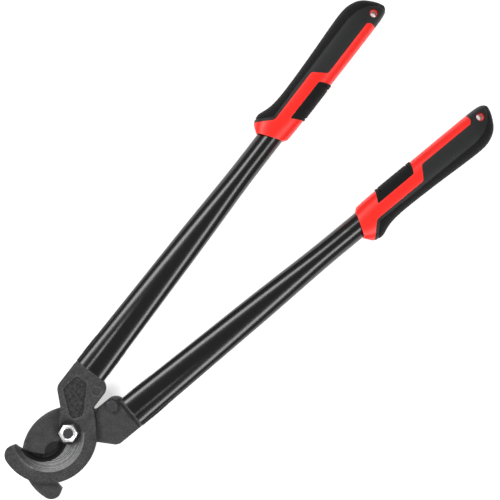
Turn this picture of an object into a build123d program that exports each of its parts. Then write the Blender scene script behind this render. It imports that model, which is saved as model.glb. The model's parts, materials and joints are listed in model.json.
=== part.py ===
"""Two-handed cable cutter with two hooked, forged jaws on one pivot bolt.

The row frame: the origin lies on the pivot bolt's axis, on the flat of the bolt's head, which is the
plane that the tool rests on.  +Y runs between the two handles, +X towards the rear jaw's handle and
+Z up, out of the pivot nut.  All sizes are in millimetres.

Each half of the tool (a jaw, its handle and its grip) is drawn in a half frame: X = 0 is the axis of
the handle tube and +X points to the other handle, Y = 0 is level with the pivot, and Z = 0 is the
plane in which the two jaws slide.  The rear half is the same half turned over.
"""

import math
import os

from build123d import *

# ---------------------------------------------------------------- driving dimensions
HANDLE_HALF_ANGLE = 6.43  # degrees between each handle and +Y in the resting pose
PIVOT_X = {"front": 22.0, "rear": 25.4}  # pivot axis to handle axis, in each half
JAW_THICKNESS = 8.5
GRIP_HALF_THICKNESS = 15.9
MATING_PLANE_Z = 16.0  # height of the sliding plane over the bench that bolt head and grips lie on
PLUS_TOP = 40.0  # half height of a cutting prism that passes everything
UPRIGHT = (Align.CENTER, Align.CENTER, Align.MIN)

# ---------------------------------------------------------------- jaw
JAW_CENTRE = (5.3, -15.6)  # centre of the hook's outer arc
JAW_RADIUS = 51.0
TIP_RADIUS = 11.5
TIP_BEARING = 251.1  # direction from the jaw's centre to the tip's centre, degrees
TIP_END_BEARING = 172.0  # where the tip's arc ends, seen from the tip's centre
HOOK_TIP = (-15.0, -44.6)
THROAT_START = (18.5, -14.9)
THROAT_DEEPEST = (20.45, -23.9)
THROAT_KNEE = (14.2, -35.2)
NECK_RIGHT_START_Y = 8.0
NECK_RIGHT_BULGE = (40.4, 21.8)
NECK_RIGHT_END = (26.3, 34.4)
LUG_LEFT_X = -17.4
LUG_CORNER = (26.1, 59.2)
LUG_END = (18.0, 63.0)
NECK_LEFT = [(LUG_LEFT_X, 59.5), (LUG_LEFT_X, 29.3), (-0.8, 14.3)]
JAW_EDGE_ROUND = 1.1
BEVEL_OUTER = ((7.5, -16.5), 37.0)  # shallow bevel at the jaw's outer face: centre, radius
BEVEL_INNER = ((3.2, -21.6), 25.5)  # where the shallow bevel meets the steep one
BEVEL_INNER_Z = 4.6
BEVEL_EDGE = ((4.4, -23.4), 19.2)  # where the steep bevel meets the land at the cutting edge
EDGE_LAND = 0.5  # flat left at the cutting edge above the mating plane
BEVEL_END_BEARING = 33.0  # the bevel ends on this ray from the pivot, degrees
PIVOT_BOSS_RADIUS = 12.6
PANEL = [(-10.4, 31.2), (-7.6, 50.8), (5.2, 51.6), (23.0, 21.6), (14.4, 11.6)]
PANEL_ROUNDS = [2.0, 3.0, 3.0, 5.6, 5.6]
PANEL_DEPTH = 0.9
COLLAR_RAMP = (57.8, 62.4)  # Y where the collar leaves the mating plane, and where it is full

# ---------------------------------------------------------------- handle tube
TUBE_START_Y = 63.0
TUBE_END_Y = 522.0
TUBE_WALL = 2.0
TUBE_RADIUS = 12.5  # of the round part in the grip
TUBE_STATIONS = [  # Y, half width, half thickness, squareness of the section
    (TUBE_START_Y, 18.0, 8.5, 2.7),
    (124.0, 16.9, 9.3, 2.6),
    (185.0, 15.8, 10.2, 2.45),
    (246.0, 14.6, 11.2, 2.25),
    (290.0, 13.3, 12.0, 2.1),
    (322.0, 12.6, 12.45, 2.0),
    (350.0, TUBE_RADIUS, TUBE_RADIUS, 2.0),
]
TANG_LENGTH = 58.0
TANG_CLEARANCE = 0.15
PIN_Y = 92.0
PIN_RADIUS = 2.5
PIN_SET_BACK = 0.4  # how far the pin's ends lie inside the tube's sides
SECTION_POINTS = 28

# ---------------------------------------------------------------- bolts
PIVOT_RADIUS = 5.0
PIVOT_CLEARANCE = 0.05
PIVOT_HEAD_HEIGHT = MATING_PLANE_Z - JAW_THICKNESS
PIVOT_ACROSS_FLATS = 17.0
WASHER_RADIUS = 12.0
WASHER_THICKNESS = 1.6
NUT_HEIGHT = 9.3
BOLT_END_RECESS = 1.0  # the bolt ends this far below the nut's face
NUT_HEX_TURN = 44.2  # degrees from +X to a corner of the pivot nut
STOP_PLACE = (18.2, 50.3)
STOP_RADIUS = 4.0
THREAD_CLEARANCE = 0.03
STOP_ACROSS_FLATS = 12.0
STOP_HEAD_HEIGHT = 5.5
STOP_HEX_TURN = 12.0
STOP_END_DOME = 0.7
HEX_TOP_SHARE = 0.95  # the round top face's diameter over the size across flats
HEX_CHAMFER_SLOPE = 30.0  # degrees

# ---------------------------------------------------------------- grip
GRIP_STATIONS = [  # Y, palm side X, finger side X, half thickness
    (357.0, -13.4, 13.2, 14.4),
    (363.0, -18.2, 14.6, 14.9),
    (369.0, -22.1, 15.5, 15.3),
    (374.5, -24.3, 15.9, 15.5),
    (379.5, -24.5, 16.2, 15.5),
    (386.0, -22.2, 16.5, 15.3),
    (393.5, -19.9, 16.7, 15.1),
    (403.0, -18.6, 16.8, 15.0),
    (424.0, -18.2, 16.8, 15.0),
    (450.0, -18.9, 16.8, 15.2),
    (480.0, -20.2, 17.0, 15.7),
    (502.0, -21.2, 17.0, GRIP_HALF_THICKNESS),
    (514.0, -21.3, 17.0, GRIP_HALF_THICKNESS),
    (523.5, -20.2, 16.9, 15.5),
    (530.5, -17.6, 16.8, 14.7),
    (536.5, -13.6, 16.5, 13.4),
    (541.5, -7.4, 15.8, 11.2),
    (545.0, -1.2, 14.6, 8.4),
    (547.0, 3.6, 13.0, 5.6),
    (548.0, 7.0, 11.4, 3.0),
]
GRIP_SQUARENESS = 2.5
OVERMOULD = 2.2  # depth of the soft skin over the hard core
GRIP_BORE_CLEARANCE = 0.1
COLLAR_FRONT = [(-40.0, 370.3), (-22.2, 368.7), (-14.1, 362.5), (12.2, 372.3), (15.6, 376.5), (40.0, 376.5)]
PALM_EDGE = [(-40.0, 352.0), (-8.1, 383.0), (-6.85, 385.6), (-6.85, 446.2), (7.6, 455.8), (7.6, 520.5)]
PALM_EDGE += [(10.8, 523.6), (40.0, 525.6)]
PALM_ROUNDS = [0.0, 1.0, 2.0, 4.0, 4.0, 2.0, 2.0, 0.0]
FINGER_PAD = [(4.9, 395.2), (5.3, 443.1), (10.0, 445.9), (40.0, 457.9), (40.0, 415.9)]
PAD_ROUNDS = [1.0, 2.0, 3.0, 0.0, 0.0]
PAD_PROUD = 1.0
SEAM_GAP = 0.3  # width of the moulded groove between the two materials
HANG_HOLE = (7.0, 533.4)
HANG_HOLE_RADIUS = 3.6
HANG_RIM = 0.9  # width of the hard ring round the hanging hole


# ---------------------------------------------------------------- helpers
def prism(face, low, high):
    """A solid from a face in the XY plane, from low to high in Z."""
    return Pos(0, 0, low) * extrude(face, high - low, dir=(0, 0, 1))


def polygon(points, rounds=0.0):
    """A closed face with one rounding radius for all its corners, or one for each."""
    return make_face(FilletPolyline(*points, radius=rounds, close=True)).face()


def rounded(face, corners):
    """The face with its corner nearest to each given point rounded by the radius beside it."""
    for point, radius in corners:
        corner = face.vertices().sort_by_distance((*point, 0))[0]
        face = face.fillet_2d(radius, [corner])
    return face


def cylinder(place, radius, low, high):
    """An upright cylinder."""
    height = high - low
    return Pos(place[0], place[1], low + height / 2) * Cylinder(radius, height)


def super_ellipse(y, left, right, half_thickness, squareness):
    """A closed section across the handle at Y, between two X limits."""
    middle, half_width = (left + right) / 2, (right - left) / 2
    points = []
    for step in range(SECTION_POINTS):
        turn = 2 * math.pi * step / SECTION_POINTS
        c, s = math.cos(turn), math.sin(turn)
        power = 2 / squareness
        x = middle + half_width * math.copysign(abs(c) ** power, c)
        z = half_thickness * math.copysign(abs(s) ** power, s)
        points.append((x, y, z))
    return Face(Wire([Spline(*points, periodic=True)]))


def polar(centre, radius, bearing):
    """The point at a bearing in degrees on a circle."""
    angle = math.radians(bearing)
    return (centre[0] + radius * math.cos(angle), centre[1] + radius * math.sin(angle))


def hexagon(across_flats, turn):
    """A hexagon face, with a corner at the given bearing."""
    return Rot(0, 0, turn) * make_face(RegularPolygon(across_flats / 2, 6, major_radius=False).edges())


def hex_block(across_flats, height, turn):
    """A bolt head or nut blank on Z = 0, its top corners turned off in a cone."""
    block = extrude(hexagon(across_flats, turn), height)
    top_radius = HEX_TOP_SHARE * across_flats / 2
    spread = height / math.tan(math.radians(HEX_CHAMFER_SLOPE))
    return block & Cone(top_radius + spread, top_radius, height, align=UPRIGHT)


# ---------------------------------------------------------------- jaws
def jaw_outline():
    """The jaw's outline in the half frame, from the handle end round the hook and back."""
    tip_centre = polar(JAW_CENTRE, JAW_RADIUS - TIP_RADIUS, TIP_BEARING)
    tip_end = polar(tip_centre, TIP_RADIUS, TIP_END_BEARING)
    tip_tangent = polar(JAW_CENTRE, JAW_RADIUS, TIP_BEARING)
    rise = NECK_RIGHT_START_Y - JAW_CENTRE[1]
    neck_right_start = (JAW_CENTRE[0] + math.sqrt(JAW_RADIUS**2 - rise**2), NECK_RIGHT_START_Y)
    throat = ThreePointArc(THROAT_START, THROAT_DEEPEST, THROAT_KNEE)
    edges = [
        *Polyline((LUG_LEFT_X + 1.6, TUBE_START_Y), *NECK_LEFT, THROAT_START).edges(),
        throat,
        TangentArc(THROAT_KNEE, HOOK_TIP, tangent=throat % 1),
        Line(HOOK_TIP, tip_end),
        ThreePointArc(tip_end, polar(tip_centre, TIP_RADIUS, 215.0), tip_tangent),
        ThreePointArc(tip_tangent, polar(JAW_CENTRE, JAW_RADIUS, 330.0), neck_right_start),
        ThreePointArc(neck_right_start, NECK_RIGHT_BULGE, NECK_RIGHT_END),
        *Polyline(NECK_RIGHT_END, LUG_CORNER, LUG_END, (LUG_LEFT_X + 1.6, TUBE_START_Y)).edges(),
    ]
    rounds = [(NECK_LEFT[1], 11.0), (NECK_LEFT[2], 12.0), (HOOK_TIP, 0.8), (tip_end, 6.0)]
    rounds += [(NECK_RIGHT_END, 4.0), (LUG_CORNER, 11.0)]
    return rounded(Face(Wire(edges)), rounds)


def bevel_cutter(pivot_x):
    """The material ground off the hook's outer face: a shallow bevel, then a steep one to the edge."""
    outer_centre, outer_radius = BEVEL_OUTER
    inner_centre, inner_radius = BEVEL_INNER
    slope = (outer_radius - inner_radius) / (JAW_THICKNESS - BEVEL_INNER_Z)
    above = 2.0
    shift = above / (JAW_THICKNESS - BEVEL_INNER_Z)
    top_centre = [o + (o - i) * shift for o, i in zip(outer_centre, inner_centre)]
    top = Pos(*top_centre, JAW_THICKNESS + above) * Circle(outer_radius + slope * above).face()
    middle = Pos(*inner_centre, BEVEL_INNER_Z) * Circle(inner_radius).face()
    shallow = loft([middle, top], ruled=True)
    edge_centre, edge_radius = BEVEL_EDGE
    bottom = Pos(*edge_centre, EDGE_LAND) * Circle(edge_radius).face()
    steep = loft([bottom, middle], ruled=True)
    ray = polar((pivot_x, 0), 90.0, BEVEL_END_BEARING)
    back = polar((pivot_x, 0), 90.0, BEVEL_END_BEARING + 180)
    kept_side = prism(polygon([ray, back, (-90.0, 60.0), (20.0, 120.0)]), 0, PLUS_TOP)
    boss = cylinder((pivot_x, 0), PIVOT_BOSS_RADIUS, 0, PLUS_TOP)
    return (shallow + steep) - kept_side - boss


def collar_and_tang():
    """The end of the forging that fills the tube's mouth, and the tang inside the tube."""
    start, full = COLLAR_RAMP
    block = extrude(super_ellipse(start, LUG_LEFT_X, -LUG_LEFT_X, 8.5, 4.0), TUBE_START_Y - start, dir=(0, 1, 0))
    ramp_face = Plane.YZ * Face(
        Wire(Polyline((start - 1, 0), (full, -JAW_THICKNESS - 1), (start - 1, -JAW_THICKNESS - 1), close=True).edges())
    )
    ramp = extrude(ramp_face, PLUS_TOP, both=True)
    tang = loft(
        [
            tube_section(y, half_width, half_thickness, squareness, TUBE_WALL + TANG_CLEARANCE)
            for y, half_width, half_thickness, squareness in tang_stations()
        ],
        ruled=True,
    )
    return (block - ramp) + tang


def tang_stations():
    """The tube's sections at the tang's two ends; the far one keeps the tube mouth's thickness."""
    first, second = TUBE_STATIONS[:2]
    end_y = TUBE_START_Y + TANG_LENGTH
    share = TANG_LENGTH / (second[0] - first[0])
    end_width = first[1] + (second[1] - first[1]) * share
    return [first, (end_y, end_width - 0.1, first[2], first[3])]


def jaw(half):
    """One forged jaw in the half frame."""
    pivot_x = PIVOT_X[half]
    plate = prism(jaw_outline(), 0, JAW_THICKNESS)
    rim = [e for e in plate.faces().sort_by(Axis.Z)[-1].edges() if e.center().Y < TUBE_START_Y - 0.5]
    plate = fillet(rim, JAW_EDGE_ROUND)
    panel = prism(polygon(PANEL, PANEL_ROUNDS), JAW_THICKNESS - PANEL_DEPTH, PLUS_TOP)
    body = plate - panel - bevel_cutter(pivot_x) + collar_and_tang()
    body -= cylinder((pivot_x, 0), PIVOT_RADIUS + PIVOT_CLEARANCE, -PLUS_TOP, PLUS_TOP)
    body -= cylinder(STOP_PLACE, STOP_RADIUS + THREAD_CLEARANCE, -PLUS_TOP, PLUS_TOP)
    body -= pin_hole(PIN_RADIUS)
    return body


def pin_hole(radius):
    """A cylinder along X through the tube and the tang."""
    return Pos(0, PIN_Y, 0) * Rot(0, 90, 0) * Cylinder(radius, 2 * PLUS_TOP)


# ---------------------------------------------------------------- handle
def tube_section(y, half_width, half_thickness, squareness, inset=0.0):
    """A section of the tube at Y, its surface moved in by the inset."""
    return super_ellipse(y, inset - half_width, half_width - inset, half_thickness - inset, squareness)


def tube_form(inset):
    """The tube's outer form, or with the wall as the inset its hollow."""
    sections = [tube_section(*station, inset) for station in TUBE_STATIONS]
    return loft(sections) + extrude(sections[-1], TUBE_END_Y - TUBE_STATIONS[-1][0], dir=(0, 1, 0))


def handle_tube():
    """The steel tube: flattened at the jaw and round in the grip."""
    return tube_form(0.0) - tube_form(TUBE_WALL) - pin_hole(PIN_RADIUS)


def tube_pin():
    """The drive pin through the narrow sides of the tube and the tang."""
    first, second = TUBE_STATIONS[:2]
    share = (PIN_Y - first[0]) / (second[0] - first[0])
    half_width = first[1] + (second[1] - first[1]) * share
    length = 2 * (half_width - PIN_SET_BACK)
    pin = Cylinder(PIN_RADIUS, length)
    return Pos(0, PIN_Y, 0) * Rot(0, 90, 0) * chamfer(pin.edges().filter_by(GeomType.CIRCLE), 0.4)


# ---------------------------------------------------------------- grip
def grip_body(inset, proud=0.0):
    """The grip's whole form; inset is how far the surface lies inside, proud how far outside on the fingers."""
    sections = []
    for y, palm, finger, half_thickness in GRIP_STATIONS:
        inside = min(inset, 0.45 * (finger - palm), 0.6 * half_thickness)
        along = y - inset if y > 530 else y
        section = (along, palm + inside, finger - inside + proud, half_thickness - inside)
        sections.append(super_ellipse(*section, GRIP_SQUARENESS))
    return loft(sections)


def front_cut():
    """Everything in front of the collar's slanted edge."""
    return prism(polygon(COLLAR_FRONT + [(40.0, 330.0), (-40.0, 330.0)]), -PLUS_TOP, PLUS_TOP)


def palm_region():
    """The palm side of the grip, bounded by the stepped edge of the hard band."""
    outline = PALM_EDGE + [(40.0, 580.0), (-60.0, 580.0), (-60.0, 352.0)]
    return polygon(outline, PALM_ROUNDS + [0.0, 0.0, 0.0])


def tube_bore():
    """The bore that takes the tube, closed at the butt."""
    start = TUBE_STATIONS[-1][0]
    length = TUBE_END_Y - start
    bore = Cylinder(TUBE_RADIUS + GRIP_BORE_CLEARANCE, length)
    return Pos(0, start + length / 2, 0) * Rot(90, 0, 0) * bore


def grip_pieces():
    """The hard sleeve and the two soft pieces moulded over it."""
    whole, core = grip_body(0.0), grip_body(OVERMOULD)
    palm_face, pad_face = palm_region(), polygon(FINGER_PAD, PAD_ROUNDS)
    palm_wide = prism(palm_face, -PLUS_TOP, PLUS_TOP)
    pad_wide = prism(pad_face, -PLUS_TOP, PLUS_TOP)
    palm_narrow = prism(offset(palm_face, -SEAM_GAP).face(), -PLUS_TOP, PLUS_TOP)
    pad_narrow = prism(offset(pad_face, -SEAM_GAP).face(), -PLUS_TOP, PLUS_TOP)
    removed = front_cut() + tube_bore()
    sleeve = (whole - palm_wide - pad_wide) + core - removed
    sleeve -= cylinder(HANG_HOLE, HANG_HOLE_RADIUS, -PLUS_TOP, PLUS_TOP)
    rim_hole = cylinder(HANG_HOLE, HANG_HOLE_RADIUS + HANG_RIM, -PLUS_TOP, PLUS_TOP)
    palm = (whole - core) & palm_narrow
    palm = palm - removed - rim_hole
    pad = (grip_body(0.0, PAD_PROUD) - core) & pad_narrow
    return sleeve, palm, pad - removed


# ---------------------------------------------------------------- fasteners, in the half frame or on the pivot
def stop_bolt():
    """The stop bolt: its head stands on the mating side and its end shows on the outer face."""
    head = Rot(180, 0, 0) * hex_block(STOP_ACROSS_FLATS, STOP_HEAD_HEIGHT, STOP_HEX_TURN)
    shank = Cylinder(STOP_RADIUS, JAW_THICKNESS, align=(Align.CENTER, Align.CENTER, Align.MIN))
    shank = chamfer(shank.edges().filter_by(GeomType.CIRCLE).sort_by(Axis.Z)[-1], STOP_END_DOME)
    return Pos(*STOP_PLACE, 0) * (head + shank)


def pivot_bolt():
    """The pivot bolt, with its head on the resting plane."""
    end = MATING_PLANE_Z + JAW_THICKNESS + WASHER_THICKNESS + NUT_HEIGHT - BOLT_END_RECESS
    head = hex_block(PIVOT_ACROSS_FLATS, PIVOT_HEAD_HEIGHT, NUT_HEX_TURN)
    head = Pos(0, 0, PIVOT_HEAD_HEIGHT) * Rot(180, 0, 0) * head
    shank = Pos(0, 0, end / 2) * Cylinder(PIVOT_RADIUS, end)
    return head + chamfer(shank.edges().filter_by(GeomType.CIRCLE).sort_by(Axis.Z)[-1], 0.8)


def pivot_washer():
    low = MATING_PLANE_Z + JAW_THICKNESS
    ring = cylinder((0, 0), WASHER_RADIUS, low, low + WASHER_THICKNESS)
    return ring - cylinder((0, 0), PIVOT_RADIUS + 0.3, 0, 2 * PLUS_TOP)


def pivot_nut():
    low = MATING_PLANE_Z + JAW_THICKNESS + WASHER_THICKNESS
    nut = hex_block(PIVOT_ACROSS_FLATS, NUT_HEIGHT, NUT_HEX_TURN)
    nut -= cylinder((0, 0), PIVOT_RADIUS, -1, PLUS_TOP)
    mouth = Pos(0, 0, NUT_HEIGHT - 0.7) * Cone(
        PIVOT_RADIUS, PIVOT_RADIUS + 0.75, 0.75, align=(Align.CENTER, Align.CENTER, Align.MIN)
    )
    return Pos(0, 0, low) * (nut - mouth)


# ---------------------------------------------------------------- assembly
def place(shape, half):
    """Moves a shape from the half frame to the row frame."""
    centred = Pos(-PIVOT_X[half], 0, 0) * shape
    if half == "front":
        return Pos(0, 0, MATING_PLANE_Z) * Rot(0, 0, HANDLE_HALF_ANGLE) * centred
    return Pos(0, 0, MATING_PLANE_Z) * Rot(0, 0, -HANDLE_HALF_ANGLE) * Rot(0, 180, 0) * centred


def build():
    nodes = {"pivot_bolt": pivot_bolt(), "pivot_washer": pivot_washer(), "pivot_nut": pivot_nut()}
    sleeve, palm, pad = grip_pieces()
    half_pieces = {
        "stop_bolt": stop_bolt(),
        "handle_tube": handle_tube(),
        "tube_pin": tube_pin(),
        "grip_sleeve": sleeve,
        "palm_overmould": palm,
        "finger_pad": pad,
    }
    for half in PIVOT_X:
        nodes[f"{half}_jaw"] = place(jaw(half), half)
        for name, piece in half_pieces.items():
            nodes[f"{half}_{name}"] = place(piece, half)
    return nodes


os.makedirs("parts", exist_ok=True)
for node_name, solid in build().items():
    export_step(solid, f"parts/{node_name}.step")
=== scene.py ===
"""Looks of the cable cutter: surface detail, materials, studio and camera.

The CAD frame is in metres.  Detail is worked out in each half's own frame, in millimetres: X = 0 is the
handle's axis and +X points to the other handle, Y = 0 is level with the pivot and Z = 0 is the plane in
which the jaws slide.
"""

import json
import math

import bmesh
import bpy
import numpy as np
from mathutils import Matrix, Vector
from mathutils.kdtree import KDTree

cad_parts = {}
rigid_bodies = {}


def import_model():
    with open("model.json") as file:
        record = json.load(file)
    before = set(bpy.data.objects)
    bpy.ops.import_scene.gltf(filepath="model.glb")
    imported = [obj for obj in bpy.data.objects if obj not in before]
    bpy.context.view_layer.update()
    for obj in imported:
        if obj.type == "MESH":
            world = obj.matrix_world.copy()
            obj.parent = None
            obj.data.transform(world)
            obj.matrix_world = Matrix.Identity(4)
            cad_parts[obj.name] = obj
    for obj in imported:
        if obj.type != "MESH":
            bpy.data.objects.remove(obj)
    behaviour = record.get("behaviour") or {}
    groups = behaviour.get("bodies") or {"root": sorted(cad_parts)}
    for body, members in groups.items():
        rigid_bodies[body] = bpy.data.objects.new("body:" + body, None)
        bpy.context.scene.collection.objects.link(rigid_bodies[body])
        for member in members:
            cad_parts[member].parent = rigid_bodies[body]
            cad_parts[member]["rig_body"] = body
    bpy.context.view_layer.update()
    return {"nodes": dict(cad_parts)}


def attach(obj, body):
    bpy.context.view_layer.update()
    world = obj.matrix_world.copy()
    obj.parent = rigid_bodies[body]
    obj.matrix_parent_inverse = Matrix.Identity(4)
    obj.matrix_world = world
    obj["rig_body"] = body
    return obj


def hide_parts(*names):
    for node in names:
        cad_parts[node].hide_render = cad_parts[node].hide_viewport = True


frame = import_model()

# ---------------------------------------------------------------- sizes that the detail follows
HANDLE_HALF_ANGLE = math.radians(6.43)
PIVOT_X = {"front": 22.0, "rear": 25.4}
MATING_PLANE_Z = 16.0
GRIP_STATIONS = np.array([  # Y, palm side X, finger side X, half thickness
    (357.0, -13.4, 13.2, 14.4),
    (363.0, -18.2, 14.6, 14.9),
    (369.0, -22.1, 15.5, 15.3),
    (374.5, -24.3, 15.9, 15.5),
    (379.5, -24.5, 16.2, 15.5),
    (386.0, -22.2, 16.5, 15.3),
    (393.5, -19.9, 16.7, 15.1),
    (403.0, -18.6, 16.8, 15.0),
    (424.0, -18.2, 16.8, 15.0),
    (450.0, -18.9, 16.8, 15.2),
    (480.0, -20.2, 17.0, 15.7),
    (502.0, -21.2, 17.0, 15.9),
    (514.0, -21.3, 17.0, 15.9),
    (523.5, -20.2, 16.9, 15.5),
    (530.5, -17.6, 16.8, 14.7),
    (536.5, -13.6, 16.5, 13.4),
    (541.5, -7.4, 15.8, 11.2),
    (545.0, -1.2, 14.6, 8.4),
    (547.0, 3.6, 13.0, 5.6),
    (548.0, 7.0, 11.4, 3.0),
])
GRIP_SQUARENESS = 2.5
GRIP_FORM_END_Y = 541.0  # past it the butt keeps the CAD's own normals
PAD_PROUD = 1.0
TUBE_STATIONS = np.array([  # Y, half width, half thickness, squareness
    (63.0, 18.0, 8.5, 2.7),
    (124.0, 16.9, 9.3, 2.6),
    (185.0, 15.8, 10.2, 2.45),
    (246.0, 14.6, 11.2, 2.25),
    (290.0, 13.3, 12.0, 2.1),
    (322.0, 12.6, 12.45, 2.0),
    (350.0, 12.5, 12.5, 2.0),
])
# the palm moulding's stippled side starts at this line, from the lip along the handle to the butt
SIDE_LINE = [(-44.0, 352.3), (-9.6, 385.7), (-9.6, 512.0), (-7.0, 525.0), (-1.0, 535.5), (7.0, 542.0), (20.0, 544.5)]
SIDE_DEPTH = 0.35
SLOT_DEPTH = 0.6
SLOT_END_Y = 415.0
PAD_NOTCHES = (405.8, 443.3)
PAD_NOTCH_DEPTH = 1.0
TUBE_STEP = 0.75
THROAT_SHADOW_PATCH = ((17.9, -25.6), 12.1)  # painted shadow: a near black patch on the mating face at the cutting edge: centre, radius
BEVEL_OUTER = ((7.5, -16.5), 37.0)  # the ground bevel's outer edge: centre, radius
BEVEL_EDGE_CENTRE = (4.4, -23.4)
BEVEL_INNER_Z = 4.6
STEEP_REACH = 28.0  # the steep bevel lies within this of its centre
PANEL_LOW_Y = 11.0
PANEL_FLOOR_Z = 7.3
PANEL_TOP_Z = 8.45
FORM_REACH = 0.25  # vertices this near the form belong to the outer surface
EDGE_ANGLE = math.radians(28)  # a crease sharper than this counts as an edge of the piece
WEAR_HIGHLIGHT_WIDTH = 0.45  # how far wear and its painted edge highlight reach from an edge
CORNER_WIDTH = 0.7  # how far the shade reaches out of a corner
STIPPLE_PITCH = 2.9  # radians per millimetre of the soft moulding's dots
GRIP_ROLL_RADIUS = 17.0  # turns an angle round the grip into millimetres


# ---------------------------------------------------------------- frames
def half_matrix(half):
    """From the half frame, in millimetres, to the row frame, in metres."""
    centred = Matrix.Translation((-PIVOT_X[half], 0, 0))
    lift = Matrix.Translation((0, 0, MATING_PLANE_Z))
    if half == "front":
        turn = Matrix.Rotation(HANDLE_HALF_ANGLE, 4, "Z")
    else:
        turn = Matrix.Rotation(-HANDLE_HALF_ANGLE, 4, "Z") @ Matrix.Rotation(math.pi, 4, "Y")
    return Matrix.Scale(0.001, 4) @ lift @ turn @ centred


def spline(t, values):
    """A natural cubic spline through the values at t."""
    count, step = len(t), np.diff(t)
    system, right = np.eye(count), np.zeros(count)
    for i in range(1, count - 1):
        system[i, i - 1 : i + 2] = step[i - 1], 2 * (step[i - 1] + step[i]), step[i]
        right[i] = 6 * ((values[i + 1] - values[i]) / step[i] - (values[i] - values[i - 1]) / step[i - 1])
    bend = np.linalg.solve(system, right)

    def evaluate(x):
        i = np.clip(np.searchsorted(t, x) - 1, 0, count - 2)
        d, h = np.clip(x, t[0], t[-1]) - t[i], step[i]
        slope = (values[i + 1] - values[i]) / h - h * (2 * bend[i] + bend[i + 1]) / 6
        return values[i] + d * slope + bend[i] * d**2 / 2 + (bend[i + 1] - bend[i]) / (6 * h) * d**3

    return evaluate


def ease(low, high, x):
    """0 below low, 1 above high and smooth between."""
    s = np.clip((x - low) / (high - low), 0, 1)
    return s * s * (3 - 2 * s)


def hump(centre, width, x):
    return np.exp(-(((x - centre) / width) ** 2))


def side_distance(line, x, y):
    """Distance from a line of points, positive on its left as it runs on."""
    best = np.full(x.shape, 1e9)
    sign = np.ones(x.shape)
    for (ax, ay), (bx, by) in zip(line, line[1:]):
        dx, dy = bx - ax, by - ay
        share = np.clip(((x - ax) * dx + (y - ay) * dy) / (dx * dx + dy * dy), 0, 1)
        gap = np.hypot(x - ax - share * dx, y - ay - share * dy)
        left = dx * (y - ay) - dy * (x - ax) > 0
        closer = gap < best - 1e-9
        best = np.where(closer, gap, best)
        sign = np.where(closer, np.where(left, 1.0, -1.0), sign)
    return best * sign


# ---------------------------------------------------------------- forms: signed distance from the outer surface
def ellipse_distance(x, z, middle, half_width, half_thickness, squareness):
    sum_of_powers = np.abs((x - middle) / half_width) ** squareness + np.abs(z / half_thickness) ** squareness
    share = sum_of_powers ** (1 / squareness)
    return (share - 1) * np.hypot(x - middle, z) / np.maximum(share, 1e-6)


grip_palm, grip_finger, grip_thick = (spline(GRIP_STATIONS[:, 0], GRIP_STATIONS[:, i]) for i in (1, 2, 3))
tube_width, tube_thick, tube_square = (spline(TUBE_STATIONS[:, 0], TUBE_STATIONS[:, i]) for i in (1, 2, 3))


def grip_form(p, proud=0.0):
    x, y, z = p.T
    palm, finger = grip_palm(y), grip_finger(y) + proud
    return ellipse_distance(x, z, (palm + finger) / 2, (finger - palm) / 2, grip_thick(y), GRIP_SQUARENESS)


def pad_form(p):
    return grip_form(p, PAD_PROUD)


def tube_form(p):
    x, y, z = p.T
    return ellipse_distance(x, z, 0.0, tube_width(y), tube_thick(y), tube_square(y))


# ---------------------------------------------------------------- relief: height of the detail over the form
def palm_relief(p):
    x, y, _ = p.T
    depth = side_distance(SIDE_LINE, x, y)
    relief = -SIDE_DEPTH * ease(0.0, 0.9, depth)
    slot = ease(0.0, 0.35, depth) * (1 - ease(1.3, 1.8, depth)) * (1 - ease(SLOT_END_Y - 1.5, SLOT_END_Y, y))
    return relief - SLOT_DEPTH * slot


def pad_relief(p):
    x, y, _ = p.T
    relief = np.zeros(x.shape)
    for place in PAD_NOTCHES:
        relief -= PAD_NOTCH_DEPTH * hump(place, 0.75, y) * ease(9.0, 13.5, x)
    return relief


def tube_relief(p):
    """Near the jaw the flattened tube keeps a soft step along each wide side."""
    x, y, _ = p.T
    share = x / tube_width(y)
    across = ease(-1.0, -0.88, share) * (1 - ease(-0.34, -0.06, share))
    return -TUBE_STEP * across * (1 - ease(85.0, 190.0, y))


def no_relief(p):
    return np.zeros(len(p))


# ---------------------------------------------------------------- meshes
def read(collection, key, size, kind=np.float32):
    values = np.zeros(len(collection) * size, kind)
    collection.foreach_get(key, values)
    return values.reshape(-1, size) if size > 1 else values


def split_long_edges(mesh, spacing):
    """Halves edges until each is shorter than spacing(x, y) at its middle."""
    work = bmesh.new()
    work.from_mesh(mesh)
    bmesh.ops.remove_doubles(work, verts=work.verts, dist=1e-4)
    for _ in range(7):
        ends = np.array([(*e.verts[0].co, *e.verts[1].co) for e in work.edges])
        middle, length = (ends[:, :3] + ends[:, 3:]) / 2, np.linalg.norm(ends[:, :3] - ends[:, 3:], axis=1)
        long = length > spacing(middle)
        if not long.any():
            break
        edges = [e for e, is_long in zip(work.edges, long) if is_long]
        bmesh.ops.subdivide_edges(work, edges=edges, cuts=1)
        bmesh.ops.triangulate(work, faces=[f for f in work.faces if len(f.verts) > 3])
    work.to_mesh(mesh)
    work.free()


def gradient(field, p):
    step = 0.02
    columns = []
    for axis in range(3):
        offset = np.zeros(3)
        offset[axis] = step
        columns.append((field(p + offset) - field(p - offset)) / (2 * step))
    return np.stack(columns, 1)


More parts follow.
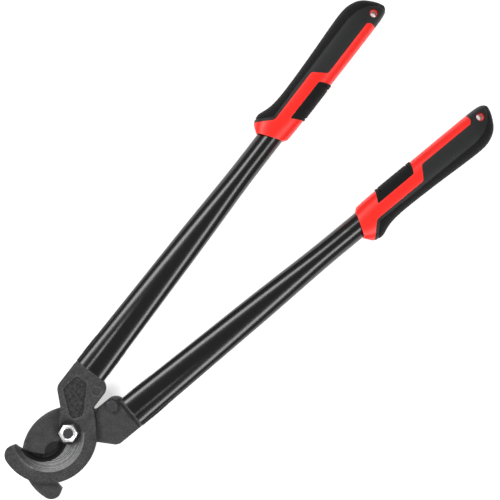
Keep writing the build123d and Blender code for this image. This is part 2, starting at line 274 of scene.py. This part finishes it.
def shape_detail(mesh, form, relief, end_y):
    """Moves the outer surface onto the form plus its relief and gives it that surface's own normals."""
    field = lambda p: form(p) - relief(p)
    co = read(mesh.vertices, "co", 3).astype(float)
    outer = (np.abs(form(co)) < FORM_REACH) & (co[:, 1] < end_y)
    p = co[outer]
    for _ in range(3):
        slope = gradient(form, p)
        p = p - slope * (field(p) / (slope**2).sum(1))[:, None]
    co[outer] = p
    near_end = (co[:, 1] >= end_y) & (np.abs(form(co)) < FORM_REACH)
    if near_end.any():
        p = co[near_end]
        slope = gradient(form, p)
        co[near_end] = p + slope / np.linalg.norm(slope, axis=1)[:, None] * relief(p)[:, None]
    mesh.vertices.foreach_set("co", co.astype(np.float32).ravel())
    mesh.update()
    mesh.shade_smooth()
    mesh.set_sharp_from_angle(angle=math.radians(32))
    mesh.update()
    normals = read(mesh.corner_normals, "vector", 3).astype(float)
    corner = read(mesh.loops, "vertex_index", 1, np.int32)
    true = np.zeros(co.shape)
    slope = gradient(field, co[outer])
    true[outer] = slope / np.linalg.norm(slope, axis=1)[:, None]
    face_normals = np.repeat(read(mesh.polygons, "normal", 3), 3, axis=0)
    use = outer[corner] & ((face_normals * true[corner]).sum(1) > 0.75)
    normals[use] = true[corner[use]]
    mesh.normals_split_custom_set(normals.tolist())


def keep_place(mesh):
    """Stores each vertex's place, in millimetres, for the materials.  It's called while the mesh is still in
    the half frame, or for the pivot's pieces in the row frame."""
    place = read(mesh.vertices, "co", 3)
    attribute = mesh.attributes.new("half_place", "FLOAT_VECTOR", "POINT")
    attribute.data.foreach_set("vector", place.ravel())
    return place.astype(float)


def keep_mask(mesh, name, values):
    attribute = mesh.attributes.new(name, "FLOAT", "POINT")
    attribute.data.foreach_set("value", values.astype(np.float32))


def edge_points(mesh, convex):
    """Points 0.3 mm apart along the mesh's convex edges, or its concave ones."""
    work = bmesh.new()
    work.from_mesh(mesh)
    bmesh.ops.remove_doubles(work, verts=work.verts, dist=1e-4)
    points = []
    for edge in work.edges:
        sharp = len(edge.link_faces) == 2 and edge.calc_face_angle(0) > EDGE_ANGLE
        if sharp and edge.is_convex == convex:
            a, b = edge.verts[0].co, edge.verts[1].co
            count = max(1, int((a - b).length / 0.3))
            points += [a.lerp(b, (i + 0.5) / count) for i in range(count)]
    work.free()
    tree = KDTree(max(len(points), 1))
    for index, point in enumerate(points or [Vector((1e6, 0, 0))]):
        tree.insert(point, index)
    tree.balance()
    return tree


def gap_to(tree, co):
    return np.array([tree.find(point)[2] for point in co])


def keep_edges(mesh, convex_tree, concave_tree):
    """Masks for worn edges, which also carry a painted highlight, and for the painted shade in corners."""
    co = read(mesh.vertices, "co", 3)
    keep_mask(mesh, "edge_wear_and_highlight", np.exp(-((gap_to(convex_tree, co) / WEAR_HIGHLIGHT_WIDTH) ** 2)))
    keep_mask(mesh, "corner", np.exp(-((gap_to(concave_tree, co) / CORNER_WIDTH) ** 2)))


def register(piece, node):
    body = frame["nodes"][node]["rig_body"]
    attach(piece, body)
    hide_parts(node)


# ---------------------------------------------------------------- materials
class Tree:
    """Short calls for building a material's node tree."""

    def __init__(self, name, colour, metallic, roughness, specular=0.5):
        self.material = bpy.data.materials.new(name)
        self.material.use_nodes = True
        self.material.diffuse_color = (*colour, 1)
        self.nodes, self.links = self.material.node_tree.nodes, self.material.node_tree.links
        self.shader = self.nodes["Principled BSDF"]
        self.shader.inputs["Base Color"].default_value = (*colour, 1)
        self.shader.inputs["Metallic"].default_value = metallic
        self.shader.inputs["Roughness"].default_value = roughness
        self.shader.inputs["Specular IOR Level"].default_value = specular

    def add(self, kind, out=0, settings=None, **inputs):
        node = self.nodes.new(kind)
        for key, value in (settings or {}).items():
            setattr(node, key, value)
        for key, value in inputs.items():
            by_number = key[0] == "i" and key[1:].isdigit()
            self.put(node.inputs[int(key[1:]) if by_number else key], value)
        return node.outputs[out]

    def put(self, socket, value):
        if isinstance(value, bpy.types.NodeSocket):
            self.links.new(value, socket)
        else:
            socket.default_value = value

    def math(self, operation, *values):
        inputs = {f"i{i}": v for i, v in enumerate(values)}
        return self.add("ShaderNodeMath", settings={"operation": operation}, **inputs)

    def place(self):
        return self.add("ShaderNodeAttribute", 1, {"attribute_name": "half_place"})

    def mask(self, name):
        return self.add("ShaderNodeAttribute", 2, {"attribute_name": name})

    def axes(self):
        split = self.nodes.new("ShaderNodeSeparateXYZ")
        self.links.new(self.place(), split.inputs[0])
        return split.outputs

    def gap(self, centre):
        """Distance in the half frame's plane from a centre."""
        x, y, _ = self.axes()
        dx, dy = self.math("SUBTRACT", x, centre[0]), self.math("SUBTRACT", y, centre[1])
        squares = self.math("ADD", self.math("MULTIPLY", dx, dx), self.math("MULTIPLY", dy, dy))
        return self.math("SQRT", squares)

    def near(self, centre, radius, soft):
        """1 inside a circle in the half frame and 0 outside it."""
        return self.add("ShaderNodeMapRange", 0, i0=self.gap(centre), i1=radius, i2=radius - soft)

    def noise(self, scale, detail=3.0, contrast=1.0):
        """Noise from 0 to 1 about 0.5; scale is in features per millimetre."""
        noise = self.add("ShaderNodeTexNoise", 0, Vector=self.place(), Scale=scale, Detail=detail)
        if contrast == 1.0:
            return noise
        low, high = 0.5 - 0.5 / contrast, 0.5 + 0.5 / contrast
        return self.add("ShaderNodeMapRange", 0, i0=noise, i1=low, i2=high)

    def ramp(self, factor, low, high):
        """Colour or grey between two values as the factor goes from 0 to 1."""
        node = self.nodes.new("ShaderNodeMix")
        if any(isinstance(v, tuple) or getattr(v, "type", "") == "RGBA" for v in (low, high)):
            node.data_type = "RGBA"
            a, b, out = node.inputs[6], node.inputs[7], node.outputs[2]
            low, high = (v if isinstance(v, bpy.types.NodeSocket) else (*v[:3], 1) for v in (low, high))
        else:
            a, b, out = node.inputs[2], node.inputs[3], node.outputs[0]
        self.put(node.inputs[0], factor)
        self.put(a, low)
        self.put(b, high)
        return out

    def bump(self, height, strength, distance):
        out = self.add("ShaderNodeBump", 0, Height=height, Strength=strength, Distance=distance)
        self.put(self.shader.inputs["Normal"], out)

    def roughness(self, factor, low, high):
        self.put(self.shader.inputs["Roughness"], self.ramp(factor, low, high))


def wear_highlight_and_corner_shade(t, base, wear_highlight_colour, corner_shade_colour):
    """Lightens a colour on worn edges, as wear and as a painted edge highlight, and darkens it in corners as painted
    shade.
    """
    patchy_wear_highlight = t.math("MULTIPLY", t.mask("edge_wear_and_highlight"), t.noise(0.3, 3.0, 2.0))
    dark = t.ramp(t.math("MULTIPLY", t.mask("corner"), 0.7), base, corner_shade_colour)
    t.put(t.shader.inputs["Base Color"], t.ramp(patchy_wear_highlight, dark, wear_highlight_colour))


def forged_material():
    t = Tree("forged_steel", (0.024, 0.024, 0.025), 0.0, 0.5, 0.35)
    cloud = t.noise(0.1, 4.0, 2.0)
    grain = t.noise(0.9, 4.0, 2.2)
    base = t.ramp(t.math("MULTIPLY", t.math("ADD", cloud, 0.4), grain), (0.013, 0.013, 0.0133), (0.06, 0.06, 0.0615))
    # painted shadow: inside this patch the mating face is drawn near black, and a little rougher
    in_throat_shadow = t.math("MULTIPLY", t.near(*THROAT_SHADOW_PATCH, 0.5), t.math("LESS_THAN", t.axes()[2], 0.25))
    base = t.ramp(in_throat_shadow, base, (0.006, 0.006, 0.0062))
    wear_highlight_and_corner_shade(t, base, (0.1, 0.1, 0.102), (0.005, 0.005, 0.005))
    t.put(t.shader.inputs["Roughness"], t.math("ADD", t.ramp(grain, 0.62, 0.42), t.math("MULTIPLY", in_throat_shadow, 0.2)))
    t.bump(t.math("ADD", grain, t.math("MULTIPLY", cloud, 0.8)), 0.9, 0.0004)
    return t.material


def panel_material():
    """The sunk panel keeps the rough skin of the forging."""
    t = Tree("forged_panel", (0.02, 0.02, 0.0205), 0.0, 0.55, 0.35)
    lumps = t.noise(0.45, 5.0, 3.0)
    base = t.ramp(lumps, (0.008, 0.008, 0.0082), (0.04, 0.04, 0.041))
    wear_highlight_and_corner_shade(t, base, (0.12, 0.12, 0.122), (0.004, 0.004, 0.004))
    t.roughness(lumps, 0.65, 0.45)
    t.bump(lumps, 1.0, 0.0008)
    return t.material


def ground_material():
    """The bevel, ground round the hook: fine rings about the bevel's centre."""
    t = Tree("ground_bevel", (0.07, 0.07, 0.072), 0.5, 0.42, 0.4)
    rings = t.add("ShaderNodeTexNoise", 0, {"noise_dimensions": "1D"}, W=t.gap(BEVEL_OUTER[0]), Scale=1.3, Detail=5.0)
    rings = t.add("ShaderNodeMapRange", 0, i0=rings, i1=0.3, i2=0.7)
    streak = t.noise(0.35, 2.0)
    # painted light: the bevel is drawn dark towards the hook's tip and light towards its root, the side that faces
    # the light
    lit_towards_root = t.add("ShaderNodeMapRange", 0, i0=t.axes()[0], i1=-14.0, i2=30.0)
    share = t.math("MULTIPLY", t.math("MULTIPLY", rings, t.math("ADD", streak, 0.5)), lit_towards_root)
    base = t.ramp(share, (0.022, 0.022, 0.0225), (0.3, 0.3, 0.305))
    wear_highlight_and_corner_shade(t, base, (0.4, 0.4, 0.4), (0.02, 0.02, 0.02))
    t.roughness(rings, 0.36, 0.58)
    t.bump(rings, 0.5, 0.0003)
    return t.material


def steep_material():
    t = Tree("cutting_bevel", (0.006, 0.006, 0.0062), 0.0, 0.4, 0.12)
    low = t.add("ShaderNodeMapRange", 0, i0=t.axes()[2], i1=0.6, i2=3.0)
    base = t.ramp(low, (0.001, 0.001, 0.001), (0.01, 0.01, 0.0103))
    wear_highlight_and_corner_shade(t, base, (0.03, 0.03, 0.03), (0.002, 0.002, 0.002))
    t.roughness(t.noise(0.8), 0.35, 0.55)
    t.bump(t.noise(1.2), 0.15, 0.0003)
    return t.material


def tube_material():
    t = Tree("tube_paint", (0.004, 0.004, 0.0042), 0.0, 0.2, 0.5)
    wear_highlight_and_corner_shade(t, (0.004, 0.004, 0.0042, 1), (0.05, 0.05, 0.05), (0.002, 0.002, 0.002))
    t.roughness(t.noise(0.25, 3.0), 0.19, 0.27)
    t.bump(t.noise(0.6, 2.0), 0.04, 0.0003)
    return t.material


def red_material():
    t = Tree("red_plastic", (0.8, 0.012, 0.006), 0.0, 0.38, 0.4)
    base = t.ramp(t.noise(0.05, 3.0), (0.88, 0.012, 0.006), (0.98, 0.018, 0.01))
    wear_highlight_and_corner_shade(t, base, (0.95, 0.05, 0.03), (0.2, 0.002, 0.001))
    t.roughness(t.noise(0.3, 3.0), 0.32, 0.48)
    t.bump(t.noise(1.8, 3.0), 0.12, 0.0003)
    return t.material


def rubber_material():
    """Soft moulding: satin where it is smooth, darker with rows of small dots where the mask says stipple."""
    t = Tree("soft_rubber", (0.011, 0.011, 0.0113), 0.0, 0.52, 0.26)
    around, along = t.mask("around"), t.axes()[1]
    diagonals = t.math("ADD", around, along), t.math("SUBTRACT", around, along)
    waves = [t.math("SINE", t.math("MULTIPLY", v, STIPPLE_PITCH)) for v in diagonals]
    stipple = t.mask("stipple")
    dots = t.math("MULTIPLY", t.math("MULTIPLY", *waves), stipple)
    fine = t.noise(2.0, 3.0)
    smooth = t.ramp(t.noise(0.08, 4.0), (0.013, 0.0135, 0.0135), (0.02, 0.0205, 0.0207))
    base = t.ramp(stipple, smooth, t.ramp(dots, (0.0008, 0.0008, 0.0008), (0.004, 0.004, 0.0042)))
    wear_highlight_and_corner_shade(t, base, (0.03, 0.03, 0.031), (0.0015, 0.0015, 0.0015))
    t.put(t.shader.inputs["Roughness"], t.math("ADD", t.ramp(fine, 0.44, 0.58), t.math("MULTIPLY", stipple, 0.16)))
    t.bump(t.math("ADD", t.math("MULTIPLY", dots, 0.8), t.math("MULTIPLY", fine, 0.4)), 0.5, 0.0004)
    return t.material


def metal_material(name, colour, metallic, roughness, grain):
    t = Tree(name, colour, metallic, roughness, 0.4)
    noise = t.noise(grain, 4.0, 2.0)
    dark, light = (tuple(share * c for c in colour) for share in (0.6, 1.0 if metallic == 1.0 else 1.8))
    wear_highlight_and_corner_shade(t, t.ramp(noise, dark if metallic < 1.0 else tuple(0.9 * c for c in colour), light), light, dark)
    t.roughness(noise, roughness * 0.8, roughness * 1.25)
    t.bump(noise, 0.4, 0.0004)
    return t.material


forged, panel, ground, steep = forged_material(), panel_material(), ground_material(), steep_material()
tube_paint, red_plastic = tube_material(), red_material()
soft_rubber = rubber_material()
black_oxide = metal_material("black_oxide", (0.03, 0.03, 0.032), 0.3, 0.42, 0.9)
zinc = metal_material("zinc_nut", (0.93, 0.93, 0.94), 1.0, 0.38, 0.5)
# a black washer, drawn near black so that it also gives the painted shade round the nut
washer_black_and_nut_shade = metal_material("washer_black_and_nut_shade", (0.004, 0.004, 0.004), 0.0, 0.7, 0.9)
pin_steel = metal_material("pin_steel", (0.25, 0.25, 0.26), 1.0, 0.4, 0.8)


# ---------------------------------------------------------------- halves
def finish_piece(piece, node, materials):
    piece.data.materials.clear()
    for material in materials:
        piece.data.materials.append(material)
    register(piece, node)


def detailed_mesh(part, spacing, form, relief, end_y):
    """The part's mesh in the half frame, with its relief, its own normals and its masks."""
    mesh = frame["nodes"][f"front_{part}"].data.copy()
    mesh.transform(half_matrix("front").inverted())
    trees = edge_points(mesh, True), edge_points(mesh, False)
    split_long_edges(mesh, spacing)
    shape_detail(mesh, form, relief, end_y)
    x, y, z = keep_place(mesh).T
    keep_edges(mesh, *trees)
    keep_mask(mesh, "around", np.arctan2(z, -x) * GRIP_ROLL_RADIUS)
    side = ease(0.4, 1.4, side_distance(SIDE_LINE, x, y)) if part == "palm_overmould" else np.ones(len(x))
    keep_mask(mesh, "stipple", side)
    return mesh


def place_detailed(half, part, mesh, name, material):
    own = mesh.copy()
    own.transform(half_matrix(half))
    piece = bpy.data.objects.new(f"{half}_{name}", own)
    bpy.context.scene.collection.objects.link(piece)
    finish_piece(piece, f"{half}_{part}", [material])


def palm_spacing(p):
    gap = np.abs(side_distance(SIDE_LINE, p[:, 0], p[:, 1]) - 0.8)
    return np.where(gap < 1.4, 0.45, 2.0)


def pad_spacing(p):
    gap = np.minimum(*(np.abs(p[:, 1] - place) for place in PAD_NOTCHES))
    return np.where((gap < 2.0) & (p[:, 0] > 8), 0.5, 2.0)


def coarse_spacing(p):
    return np.full(len(p), 2.5)


def tube_spacing(p):
    return np.where(p[:, 1] < 200, 2.5, 12.0)


def plain_piece(node, name, materials, to_local):
    """A copy of a CAD node with edge masks, split finely beside its edges."""
    mesh = frame["nodes"][node].data.copy()
    mesh.transform(to_local)
    convex, concave = edge_points(mesh, True), edge_points(mesh, False)
    split_long_edges(mesh, lambda p: np.where(np.minimum(gap_to(convex, p), gap_to(concave, p)) < 1.0, 0.5, 4.0))
    mesh.shade_smooth()
    mesh.set_sharp_from_angle(angle=EDGE_ANGLE)
    place = keep_place(mesh)
    keep_edges(mesh, convex, concave)
    piece = bpy.data.objects.new(name, mesh)
    bpy.context.scene.collection.objects.link(piece)
    mesh.transform(to_local.inverted())
    finish_piece(piece, node, materials)
    return piece, place


def jaw_piece(half):
    """The jaw with four surfaces: forged, ground on the bevel, dark at the cutting edge, and the rough panel."""
    to_half = half_matrix(half).inverted()
    surfaces = [forged, ground, steep, panel]
    piece, place = plain_piece(f"{half}_jaw", f"{half}_forged_jaw", surfaces, to_half)
    sides = place[read(piece.data.loops, "vertex_index", 1, np.int32).reshape(-1, 3)]
    middle = sides.mean(1)
    normal = np.cross(sides[:, 1] - sides[:, 0], sides[:, 2] - sides[:, 0])
    up = normal[:, 2] / np.maximum(np.linalg.norm(normal, axis=1), 1e-12)
    outer_gap = BEVEL_OUTER[1] - np.hypot(*(middle[:, :2] - BEVEL_OUTER[0]).T)
    inner_gap = np.hypot(*(middle[:, :2] - BEVEL_EDGE_CENTRE).T)
    hook = (outer_gap > -0.1) & (middle[:, 1] < 8)
    shallow = hook & (middle[:, 2] > BEVEL_INNER_Z) & (up > 0.8) & (up < 0.99)
    height = middle[:, 2]
    cut = hook & (inner_gap < STEEP_REACH) & (height < BEVEL_INNER_Z + 0.05) & (height > 0.4) & (up > 0.5)
    sunk = (middle[:, 1] > PANEL_LOW_Y) & (height > PANEL_FLOOR_Z) & (height < PANEL_TOP_Z) & (up > 0.3)
    index = np.select([shallow, cut, sunk], [1, 2, 3], 0).astype(np.int32)
    piece.data.polygons.foreach_set("material_index", index)


DETAILED = (
    ("handle_tube", "tube", "tube_paint", tube_paint, tube_spacing, tube_form, tube_relief, 350.0),
    ("grip_sleeve", "sleeve", "red_plastic", red_plastic, coarse_spacing, grip_form, no_relief, GRIP_FORM_END_Y),
    ("palm_overmould", "palm", "black_rubber", soft_rubber, palm_spacing, grip_form, palm_relief, GRIP_FORM_END_Y),
    ("finger_pad", "pad", "black_rubber", soft_rubber, pad_spacing, pad_form, pad_relief, GRIP_FORM_END_Y),
)
for part, name, slot, material, spacing, form, relief, end_y in DETAILED:
    shared = detailed_mesh(part, spacing, form, relief, end_y)
    for half in PIVOT_X:
        place_detailed(half, part, shared, name, material)

for half in PIVOT_X:
    jaw_piece(half)
    to_half = half_matrix(half).inverted()
    plain_piece(f"{half}_stop_bolt", f"{half}_stop_screw", [black_oxide], to_half)
    plain_piece(f"{half}_tube_pin", f"{half}_drive_pin", [pin_steel], to_half)

to_millimetres = Matrix.Scale(1000, 4)
plain_piece("pivot_bolt", "pivot_screw", [black_oxide], to_millimetres)
plain_piece("pivot_washer", "pivot_ring", [washer_black_and_nut_shade], to_millimetres)
plain_piece("pivot_nut", "pivot_hexagon", [zinc], to_millimetres)


# ---------------------------------------------------------------- studio
FLOOR_Z = -0.0003  # just under the bolt head, so that the two flats don't coincide


def make_floor():
    size = 6.0
    mesh = bpy.data.meshes.new("floor")
    corners = [(-size, -size, FLOOR_Z), (size, -size, FLOOR_Z), (size, size, FLOOR_Z), (-size, size, FLOOR_Z)]
    mesh.from_pydata(corners, [], [(0, 1, 2, 3)])
    floor = bpy.data.objects.new("floor", mesh)
    bpy.context.scene.collection.objects.link(floor)
    paper = Tree("floor_paper", (0.85, 0.85, 0.85), 0.0, 0.9, 0.0)
    paper.shader.inputs["Emission Color"].default_value = (1, 1, 1, 1)
    paper.shader.inputs["Emission Strength"].default_value = 0.55
    mesh.materials.append(paper.material)


def make_light(name, place, target, size, power):
    data = bpy.data.lights.new(name, "AREA")
    data.shape = "RECTANGLE"
    data.size, data.size_y = size
    data.energy = power
    light = bpy.data.objects.new(name, data)
    bpy.context.scene.collection.objects.link(light)
    light.location = place
    light.rotation_euler = (Vector(target) - Vector(place)).to_track_quat("-Z", "Y").to_euler()


def make_world(strength):
    world = bpy.data.worlds.new("studio")
    bpy.context.scene.world = world
    world.use_nodes = True
    background = world.node_tree.nodes["Background"]
    background.inputs["Color"].default_value = (1, 1, 1, 1)
    background.inputs["Strength"].default_value = strength


def make_camera():
    data = bpy.data.cameras.new("camera")
    data.lens = 100.0
    data.sensor_width = 36.0
    camera = bpy.data.objects.new("camera", data)
    bpy.context.scene.collection.objects.link(camera)
    camera.location = (0.003138, 0.264816, 0.016 + 1.4413)
    camera.rotation_euler = (0.0, 0.0, math.radians(134.06 - 90.0))
    bpy.context.scene.camera = camera


make_floor()
make_light("left_strip", (-0.87, 0.04, 1.23), (0, 0.04, 0), (1.05, 0.46), 15.5)
make_light("right_strip", (0.95, 0.1, 1.19), (0, 0.1, 0), (1.15, 0.44), 14.5)
make_world(0.27)
make_camera()
bpy.context.scene.view_settings.view_transform = "Standard"
